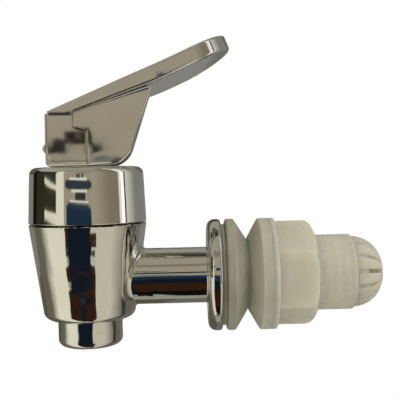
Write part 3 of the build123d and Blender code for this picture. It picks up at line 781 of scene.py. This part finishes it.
def plate(outline_wire, near, far, soft=0.0):
    """Fills a wire in the XZ plane and gives it thickness from y = near to y = far.

    The rim of the near side is rounded by soft.
    """
    bmesh.ops.edgeloop_fill(outline_wire, edges=outline_wire.edges)
    bmesh.ops.translate(outline_wire, verts=outline_wire.verts, vec=(0, near, 0))
    grown = bmesh.ops.extrude_face_region(outline_wire, geom=outline_wire.faces[:])["geom"]
    tops = [part for part in grown if isinstance(part, bmesh.types.BMVert)]
    bmesh.ops.translate(outline_wire, verts=tops, vec=(0, far - near, 0))
    bmesh.ops.recalc_face_normals(outline_wire, faces=outline_wire.faces)
    if soft:
        near_rim = [
            edge
            for edge in outline_wire.edges
            if max(abs(point.co.y - near) for point in edge.verts) < CUT_WITHIN
        ]
        edges_rounded(outline_wire, near_rim, soft, 4)
    return outline_wire


def shaped(thing, tool, how):
    """Joins a second solid to a piece or cuts it away, and drops the second solid."""
    change = thing.modifiers.new(how, "BOOLEAN")
    change.operation = how
    change.object = tool
    change.solver = "EXACT"
    graph = bpy.context.evaluated_depsgraph_get()
    mesh = bpy.data.meshes.new_from_object(thing.evaluated_get(graph))
    thing.modifiers.clear()
    thing.data = mesh
    bpy.data.objects.remove(tool)


hood = plate(
    ring_outline(
        (HOOD_FRONT, HOOD_BASE, HOOD_CORNER),
        (CAM_CORNER_X, HOOD_BASE, CAM_REACH),
        CHEEK_TIP,
        ROOF_REAR,
        ROOF_FRONT,
        ROOF_LIP,
        (HOOD_FRONT, HOOD_ROOF_Z, HOOD_ROOF_EDGE),
    ),
    -HOOD_HALF,
    HOOD_HALF,
)
# The soft edges run round the cam and up the back of each cheek.
rims = [
    edge
    for edge in hood.edges
    if abs(abs(edge.verts[0].co.y) - HOOD_HALF) < LEVEL_WITHIN
    and abs(edge.verts[0].co.y - edge.verts[1].co.y) < LEVEL_WITHIN
    and (edge.verts[0].co.x + edge.verts[1].co.x) / 2 > 0
    and (edge.verts[0].co.z + edge.verts[1].co.z) / 2 < CHEEK_EDGE_TOP_Z
]
edges_rounded(hood, rims, CHEEK_EDGE, 5)
hood = piece(hood, "lever_shell")
inside = plate(
    ring_outline(
        (INSIDE_FRONT, CUT_BELOW),
        (INSIDE_SLOPE_HIGH[0], CUT_BELOW),
        INSIDE_SLOPE_HIGH,
        INSIDE_SLOPE_LOW,
        (INSIDE_SLOPE_LOW[0], INSIDE_ROOF_Z),
        (INSIDE_FRONT, INSIDE_ROOF_Z),
    ),
    -INSIDE_HALF,
    INSIDE_HALF,
)
shaped(hood, piece(inside, "inside"), "DIFFERENCE")
for end in (-1, 1):
    relief = plate(
        ring_outline(
            (CUT_FRONT, CUT_BELOW),
            (STEP_LOWER_X, CUT_BELOW),
            (STEP_LOWER_X, STEP_LOWER_Z),
            (STEP_UPPER_X, STEP_UPPER_Z),
            (STEP_UPPER_X, CUT_ABOVE),
            (CUT_FRONT, CUT_ABOVE),
        ),
        end * RELIEF_HALF,
        end * CUT_SIDE,
    )
    shaped(hood, piece(relief, "relief"), "DIFFERENCE")
    seam = plate(
        ring_outline(
            (STEP_LOWER_X, CHEEK_SEAM_LOW_Z),
            (STEP_LOWER_X, STEP_LOWER_Z),
            (STEP_UPPER_X, STEP_UPPER_Z),
            (STEP_UPPER_X, CHEEK_SEAM_HIGH_Z),
            (STEP_UPPER_X - CHEEK_SEAM_WIDTH, CHEEK_SEAM_HIGH_Z),
            (STEP_UPPER_X - CHEEK_SEAM_WIDTH, STEP_UPPER_Z - CHEEK_SEAM_DROP),
            (STEP_LOWER_X - CHEEK_SEAM_WIDTH, STEP_LOWER_Z - CHEEK_SEAM_DROP),
            (STEP_LOWER_X - CHEEK_SEAM_WIDTH, CHEEK_SEAM_LOW_Z),
        ),
        end * CHEEK_SEAM_HALF,
        end * CUT_SIDE,
    )
    shaped(hood, piece(seam, "seam"), "DIFFERENCE")
    field = plate(
        ring_outline(
            (CUT_FRONT, CUT_BELOW),
            (STEP_LOWER_X, CUT_BELOW),
            (STEP_LOWER_X, PAD_BASE),
            (PAD_FRONT, PAD_BASE, PAD_CORNER),
            (PAD_FRONT, CUT_ABOVE),
            (CUT_FRONT, CUT_ABOVE),
        ),
        end * BORDER_HALF,
        end * CUT_SIDE,
        PAD_EDGE,
    )
    shaped(hood, piece(field, "field"), "DIFFERENCE")
    groove = plate(
        ring_outline(
            (CUT_FRONT, GROOVE_Z),
            (GROOVE_END_X - GROOVE_SLANT, GROOVE_Z),
            (GROOVE_END_X, HOOD_ROOF_Z),
            (GROOVE_END_X, CUT_ABOVE),
            (CUT_FRONT, CUT_ABOVE),
        ),
        end * GROOVE_HALF,
        end * CUT_SIDE,
    )
    shaped(hood, piece(groove, "groove"), "DIFFERENCE")


# Lever: paddle and rib
# The paddle widens from the hood to a round tip, rises gently at its end and has soft edges. A
# small round rib crosses the front of the hood.
PADDLE_TILT = radians(22)
PADDLE_ROOT = (-9.0, 0, 43.35)
PADDLE_THICK = 4.2
PADDLE_ROOT_SHARE = 0.595
PADDLE_DRAFT = 0.0067
PADDLE_ROOT_HALF = 10.0
PADDLE_WIDEST_X = 38.0
PADDLE_WIDEST_HALF = 16.0
PADDLE_FLARE = 0.17
PADDLE_TIP = 50.48
PADDLE_BEND = 28
PADDLE_BEND_R = 170.0
PADDLE_EDGE = 0.8
PADDLE_STEPS = 128
RIB_R = 1.1
RIB_LENGTH = 17.2
RIB_EDGE = 0.3
RIB_SUNK = 0.35
RIB_Z = 34.0
RIB_SIDES = 32

paddle = bmesh.new()
rim = bmesh.ops.create_circle(paddle, cap_ends=False, segments=PADDLE_STEPS, radius=1)["verts"]
for point in rim:
    if point.co.x >= 0:
        point.co.x = PADDLE_WIDEST_X + point.co.x * (PADDLE_TIP - PADDLE_WIDEST_X)
        point.co.y *= PADDLE_WIDEST_HALF
        continue
    along = 1 + point.co.x
    growth = along * along * (3 - 2 * along)
    flare = PADDLE_FLARE * PADDLE_WIDEST_X * along * (1 - along) ** 2
    half = PADDLE_ROOT_HALF + (PADDLE_WIDEST_HALF - PADDLE_ROOT_HALF) * growth + flare
    point.co.x = PADDLE_WIDEST_X * along
    if along > 0.0001:
        point.co.y = half if point.co.y > 0 else -half
bmesh.ops.edgeloop_fill(paddle, edges=paddle.edges)
grown = bmesh.ops.extrude_face_region(paddle, geom=paddle.faces[:])["geom"]
lower = [part for part in grown if isinstance(part, bmesh.types.BMVert)]
bmesh.ops.translate(paddle, verts=lower, vec=(0, 0, -PADDLE_THICK))
bmesh.ops.recalc_face_normals(paddle, faces=paddle.faces)
# The root's own edges stay sharp, inside the hood.
rims = [
    edge
    for edge in paddle.edges
    if abs(edge.verts[0].co.z - edge.verts[1].co.z) < LEVEL_WITHIN
    and max(point.co.x for point in edge.verts) > 0.1
]
edges_rounded(paddle, rims, PADDLE_EDGE, 6)
for point in paddle.verts:
    point.co.y *= 1 - PADDLE_DRAFT * (point.co.z + PADDLE_THICK)
for cut in range(PADDLE_BEND, int(PADDLE_TIP)):
    bmesh.ops.bisect_plane(
        paddle, geom=[*paddle.verts, *paddle.edges, *paddle.faces], dist=CUT_WITHIN,
        plane_co=(cut, 0, 0), plane_no=(1, 0, 0),
    )
for point in paddle.verts:
    point.co.z *= PADDLE_ROOT_SHARE + (1 - PADDLE_ROOT_SHARE) * min(point.co.x / PADDLE_BEND, 1)
    past = max(0, point.co.x - PADDLE_BEND)
    point.co.z += PADDLE_BEND_R - sqrt(PADDLE_BEND_R ** 2 - past ** 2)
tilt = Matrix.Rotation(-PADDLE_TILT, 3, "Y")
bmesh.ops.rotate(paddle, verts=paddle.verts, cent=(0, 0, 0), matrix=tilt)
bmesh.ops.translate(paddle, verts=paddle.verts, vec=PADDLE_ROOT)
under = bmesh.ops.bisect_plane(
    paddle, geom=[*paddle.verts, *paddle.edges, *paddle.faces], dist=CUT_WITHIN,
    plane_co=(0, 0, HOOD_ROOF_Z), plane_no=(0, 0, 1), clear_inner=True,
)["geom_cut"]
under = [part for part in under if isinstance(part, bmesh.types.BMEdge)]
bmesh.ops.edgeloop_fill(paddle, edges=under)
shaped(hood, piece(paddle, "paddle"), "UNION")

rib = bmesh.new()
bmesh.ops.create_cone(
    rib, cap_ends=True, segments=RIB_SIDES, radius1=RIB_R, radius2=RIB_R, depth=RIB_LENGTH,
)
ends = [edge for edge in rib.edges if abs(edge.verts[0].co.z - edge.verts[1].co.z) < LEVEL_WITHIN]
edges_rounded(rib, ends, RIB_EDGE, 3)
bmesh.ops.rotate(rib, verts=rib.verts, cent=(0, 0, 0), matrix=Matrix.Rotation(pi / 2, 3, "X"))
bmesh.ops.translate(rib, verts=rib.verts, vec=(HOOD_FRONT + RIB_SUNK, 0, RIB_Z))
shaped(hood, piece(rib, "rib"), "UNION")
turn = Matrix.Rotation(LEVER_TURN, 4, "Z")
hood.data.transform(Matrix.Translation((VALVE_X / 1000, 0, 0)) @ turn)


def softened(thing, width, segments, sharpest):
    """Rounds the edges of a finished piece by a width in metres, and shades it smooth."""
    thing.data.shade_smooth()
    soften = thing.modifiers.new("soften", "BEVEL")
    soften.width = width
    soften.segments = segments
    soften.limit_method = "ANGLE"
    soften.angle_limit = radians(sharpest)
    return soften


soften = softened(hood, 0.0002, 3, 40)
soften.use_clamp_overlap = False
soften.miter_outer = "MITER_ARC"
lever_chrome = chrome("chrome_lever", peel=0.00008, haze_most=0.09)
assembled(hood, "lever", "chrome_plate", lever_chrome, "lever")


# Threaded shank
# Hollow shank in milky white plastic, bonded in the flange. It has a plain neck under the washers
# and a shallow thread along the rest, with a plain land along its top and another below.
SHANK_END_X = 34.7
SHANK_END_EDGE = 0.4
SHANK_BORE_R = 7.8
SHANK_BORE_X = 3.0
SHANK_NECK_R = 9.3
SHANK_NECK_X = 10.4
TENON_R = 5.85
TENON_X = -13.75
SHOULDER_R = 9.75
SHOULDER_X = -1.75
LAND_SHARE = 0.9
LAND_BLEND = 0.12
THREAD_START = 10.6
THREAD_END = 34.0
THREAD_PITCH = 2.35
THREAD_SHIFT = 0.9
THREAD_DEPTH = 0.16
THREAD_R = 10.0
THREAD_STEP = 0.2

plastic = moulding(
    "milky_plastic", light=(0.81, 0.77, 0.65), dark=(0.74, 0.7, 0.57), roughness=0.28, depth=0.004,
    grain=0.00001, through=0.4,
)
ring_count = int((THREAD_END - THREAD_START) / THREAD_STEP)
thread_rings = [(THREAD_START + THREAD_STEP * index, THREAD_R) for index in range(ring_count)]
shank = ring_outline(
    (TENON_X, PIPE_BORE_R),
    (TENON_X, TENON_R),
    (SHOULDER_X, TENON_R),
    (SHOULDER_X, SHOULDER_R),
    (0, SHOULDER_R),
    (0, SHANK_NECK_R),
    (SHANK_NECK_X, SHANK_NECK_R),
    *thread_rings,
    (SHANK_END_X, THREAD_R, SHANK_END_EDGE),
    (SHANK_END_X, SHANK_BORE_R),
    (SHANK_BORE_X, SHANK_BORE_R),
    (0, PIPE_BORE_R),
)
turned(shank, (1, 0, 0))
for point in shank.verts:
    across = sqrt(point.co.y ** 2 + point.co.z ** 2)
    if across > THREAD_R - LEVEL_WITHIN and THREAD_START < point.co.x < THREAD_END:
        phase = (point.co.x - THREAD_SHIFT) / THREAD_PITCH * 2 * pi - atan2(point.co.z, point.co.y)
        side = min(1, max(0, (LAND_SHARE - abs(point.co.z) / across) / LAND_BLEND))
        cut = 1 - THREAD_DEPTH / THREAD_R * side * (1 + sin(phase)) / 2
        point.co.y *= cut
        point.co.z *= cut
assembled(piece(shank, "shank"), "tap_body", "white_plastic", plastic, "threaded_shank")


# Gasket and cone washers
# Three turned silicone rings: a thin flat one against the flange, and two cones lip to lip, which
# centre themselves in the hole of the vessel's wall.
WASHER_BORE_R = 9.35
WASHER_R = 14.8
LIP_R = 9.7
LIP_EDGE = 0.15
CONE_EDGE = 0.25
RIM_EDGE = 0.2
GASKET_R = 13.4
GASKET_X = 1.1
OUTER_BACK_ROUND = 0.8
OUTER_RIM_X = 3.4
OUTER_LIP_X = 6.6
INNER_LIP_X = 7.1
INNER_RIM_X = 10.0
INNER_STEP_X = 10.55
INNER_BACK_X = 12.7
THREAD_PASS_R = 10.05

gasket = ring_outline(
    (0, WASHER_BORE_R),
    (0, GASKET_R, RIM_EDGE),
    (GASKET_X, GASKET_R, RIM_EDGE),
    (GASKET_X, WASHER_BORE_R),
)
outer_washer = ring_outline(
    (GASKET_X, WASHER_BORE_R),
    (GASKET_X, WASHER_R, OUTER_BACK_ROUND),
    (OUTER_RIM_X, WASHER_R, CONE_EDGE),
    (OUTER_LIP_X, LIP_R, LIP_EDGE),
    (OUTER_LIP_X, WASHER_BORE_R),
)
inner_washer = ring_outline(
    (INNER_LIP_X, WASHER_BORE_R),
    (INNER_LIP_X, LIP_R, LIP_EDGE),
    (INNER_RIM_X, WASHER_R, CONE_EDGE),
    (INNER_BACK_X, WASHER_R, RIM_EDGE),
    (INNER_BACK_X, THREAD_PASS_R),
    (INNER_STEP_X, THREAD_PASS_R),
    (INNER_STEP_X, WASHER_BORE_R),
)
dull_silicone = moulding(
    "dull_silicone", light=(0.42, 0.4, 0.32), dark=(0.34, 0.32, 0.25), roughness=0.36, depth=0.002,
    grain=0.00001, through=0.15,
)
for wire, node, name, ring_material in (
    (gasket, "flange_gasket", "gasket_ring", dull_silicone),
    (outer_washer, "outer_washer", "outer_washer_ring", dull_silicone),
    (inner_washer, "inner_washer", "inner_washer_ring", silicone),
):
    ring = piece(turned(wire, (1, 0, 0)), name)
    assembled(ring, "tap_body", "silicone", ring_material, node)


# Nut
# Plastic hex nut with a round collar towards the washer, a corner on top and a rounded end.
NUT_CORNER_R = 14.0
NUT_TURN = radians(31)
NUT_LENGTH = 12.2
NUT_END_X = INNER_BACK_X + NUT_LENGTH
NUT_COLLAR_X = 14.1
NUT_HEX_X = 14.9
NUT_CONE_X = 23.3
NUT_CONE_ROUND = 1.25
NUT_END_R = 10.6

nut = bmesh.new()
bmesh.ops.create_cone(
    nut, cap_ends=True, segments=6, radius1=NUT_CORNER_R, radius2=NUT_CORNER_R, depth=NUT_LENGTH,
)
bmesh.ops.rotate(nut, verts=nut.verts, cent=(0, 0, 0), matrix=Matrix.Rotation(NUT_TURN, 3, "Z"))
bmesh.ops.rotate(nut, verts=nut.verts, cent=(0, 0, 0), matrix=Matrix.Rotation(pi / 2, 3, "Y"))
bmesh.ops.translate(nut, verts=nut.verts, vec=(INNER_BACK_X + NUT_LENGTH / 2, 0, 0))
nut = piece(nut, "nut")
collar = turned(
    ring_outline(
        (INNER_BACK_X, 0),
        (INNER_BACK_X, WASHER_R, RIM_EDGE),
        (NUT_COLLAR_X, WASHER_R, RIM_EDGE),
        (NUT_COLLAR_X, 0),
    ),
    (1, 0, 0),
)
shaped(nut, piece(collar, "collar"), "UNION")
blank = turned(
    ring_outline(
        (INNER_BACK_X, THREAD_PASS_R),
        (INNER_BACK_X, WASHER_R),
        (NUT_COLLAR_X, WASHER_R),
        (NUT_HEX_X, NUT_CORNER_R),
        (NUT_CONE_X, NUT_CORNER_R, NUT_CONE_ROUND),
        (NUT_END_X, NUT_END_R, RIM_EDGE),
        (NUT_END_X, THREAD_PASS_R),
    ),
    (1, 0, 0),
)
shaped(nut, piece(blank, "blank"), "INTERSECT")
softened(nut, 0.00022, 2, 25)
assembled(nut, "tap_body", "white_plastic", plastic, "shank_nut")


# Strainer cap
# Domed cap pushed in the end of the shank. Fourteen narrow slots round its dome let the drink in
# and keep fruit and leaves out.
CAP_R = 9.45
CAP_END_X = 42.9
CAP_DOME = 7.9
CAP_EDGE = 0.2
CAP_INSIDE_R = 6.65
CAP_INSIDE_X = 41.5
CAP_INSIDE_DOME = 5.2
STUB_R = 7.75
STUB_X = 30.7
SLOTS = 14
SLOT_TURN = radians(5.8)
SLOT_WIDTH = 1.1
SLOT_INNER_R = 4.15
SLOT_START = 37.7
SLOT_LENGTH = 6.6
FLUTE_START = 35.4
FLUTE_LENGTH = 10
FLUTE_DEPTH = 0.35
FLUTE_DOME = 7.6
FLUTE_CORE_X = 34

cap = turned(
    ring_outline(
        (STUB_X, CAP_INSIDE_R),
        (STUB_X, STUB_R),
        (SHANK_END_X, STUB_R),
        (SHANK_END_X, CAP_R, CAP_EDGE),
        (CAP_END_X, CAP_R, CAP_DOME),
        (CAP_END_X, 0),
        (CAP_INSIDE_X, 0),
        (CAP_INSIDE_X, CAP_INSIDE_R, CAP_INSIDE_DOME),
    ),
    (1, 0, 0),
)
cap = piece(cap, "strainer")


def blades(name, start, length):
    """Thin blocks that stand round the cap's axis, one for each slot."""
    bm = bmesh.new()
    for index in range(SLOTS):
        blade = bmesh.ops.create_cube(bm, size=1)["verts"]
        bmesh.ops.scale(bm, vec=(length, SLOT_WIDTH, CAP_R), verts=blade)
        bmesh.ops.translate(bm, verts=blade, vec=(start + length / 2, 0, SLOT_INNER_R + CAP_R / 2))
        turn = Matrix.Rotation(SLOT_TURN + index * 2 * pi / SLOTS, 3, "X")
        bmesh.ops.rotate(bm, verts=blade, cent=(0, 0, 0), matrix=turn)
    return piece(bm, name)


flutes = blades("flutes", FLUTE_START, FLUTE_LENGTH)
core = ring_outline(
    (FLUTE_CORE_X, 0),
    (FLUTE_CORE_X, CAP_R - FLUTE_DEPTH),
    (CAP_END_X - FLUTE_DEPTH, CAP_R - FLUTE_DEPTH, FLUTE_DOME),
    (CAP_END_X - FLUTE_DEPTH, 0),
)
shaped(flutes, piece(turned(core, (1, 0, 0)), "core"), "DIFFERENCE")
shaped(cap, flutes, "DIFFERENCE")
shaped(cap, blades("knives", SLOT_START, SLOT_LENGTH), "DIFFERENCE")
softened(cap, 0.00012, 2, 40)
assembled(cap, "tap_body", "white_plastic", plastic, "strainer_cap")
